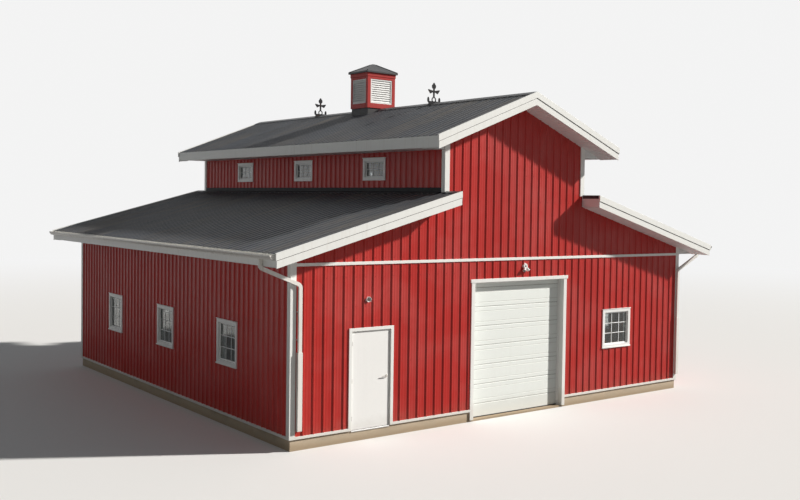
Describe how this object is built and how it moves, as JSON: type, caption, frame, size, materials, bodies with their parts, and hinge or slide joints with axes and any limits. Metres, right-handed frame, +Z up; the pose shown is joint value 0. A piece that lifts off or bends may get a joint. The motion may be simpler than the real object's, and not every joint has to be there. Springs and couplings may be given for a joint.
{
  "type": "red barn with raised centre aisle",
  "caption": "Red metal-clad barn with a raised centre aisle, low side roofs, cupola, hinged side door and wide overhead door; the walls are hollow and have windows.",
  "frame": {"origin": "middle of the plan at the lowest ground, under the floor slab", "axes": "+X to the right along the front, +Y to the back, +Z up; the gable with both doors faces -Y"},
  "size_m": [13.06, 14, 8.8112],
  "materials": {
    "concrete": "cast concrete, light grey",
    "red_cladding": "barn red ribbed steel sheet",
    "red_cupola": "barn red boards",
    "charcoal_roofing": "charcoal ribbed steel roofing",
    "white_trim": "white steel trim",
    "white_door_steel": "white embossed door skin",
    "white_vinyl": "white vinyl",
    "clear_glass": "clear double glazing",
    "framing_timber": "planed softwood",
    "satin_steel": "satin nickel",
    "threshold_aluminium": "mill aluminium",
    "black_iron": "black painted iron",
    "white_light_housing": "white housing, dark lens"
  },
  "bodies": {
    "barn": {"floor_slab": "concrete", "foundation_curb": "concrete", "front_wall_left": "red_cladding", "front_wall_over_door": "red_cladding", "front_wall_middle": "red_cladding", "front_wall_over_overhead_door": "red_cladding", "front_wall_right": "red_cladding", "gable_centres": "red_cladding", "gable_wings": "red_cladding", "back_wall": "red_cladding", "left_wall": "red_cladding", "right_wall": "red_cladding", "left_clerestory_wall": "red_cladding", "right_clerestory_wall": "red_cladding", "cupola_body": "red_cupola", "low_roofs": "charcoal_roofing", "upper_roof_left": "charcoal_roofing", "upper_roof_right": "charcoal_roofing", "ridge_cap": "charcoal_roofing", "roof_to_wall_flashings": "charcoal_roofing", "cupola_curb": "charcoal_roofing", "cupola_roof": "charcoal_roofing", "eave_fascias": "white_trim", "eave_soffits": "white_trim", "gable_soffits": "white_trim", "rake_trims": "white_trim", "corner_trims": "white_trim", "base_trim": "white_trim", "belt_trims": "white_trim", "gutters": "white_trim", "downspouts": "white_trim", "overhead_door_casing": "white_trim", "man_door_frame": "white_trim", "overhead_door": "white_door_steel", "side_windows": "white_vinyl", "clerestory_windows": "white_vinyl", "gable_windows": "white_vinyl", "cupola_louvres": "white_vinyl", "window_glass": "clear_glass", "aisle_posts": "framing_timber", "aisle_beams": "framing_timber", "man_door_hinge_pins": "satin_steel", "man_door_threshold": "threshold_aluminium", "ridge_finials": "black_iron", "outdoor_lights": "white_light_housing"},
    "man_door": {"man_door_leaf": "white_door_steel", "man_door_hinge_leaves": "satin_steel", "man_door_roses": "satin_steel"},
    "door_lever": {"man_door_lever": "satin_steel"}
  },
  "joints": [
    {"name": "man_door_hinge", "type": "hinge", "parent": "barn", "child": "man_door", "pos_m": [-4.3965, -6.371, 1.251], "axis": [0, 0, -1], "range_deg": [0, 95]},
    {"name": "lever_turn", "type": "hinge", "parent": "man_door", "child": "door_lever", "pos_m": [-3.556, -6.34, 1.285], "axis": [0, -1, 0], "range_deg": [0, 45], "stiffness_Nm_per_rad": 2, "springref_deg": -28.65}
  ]
}
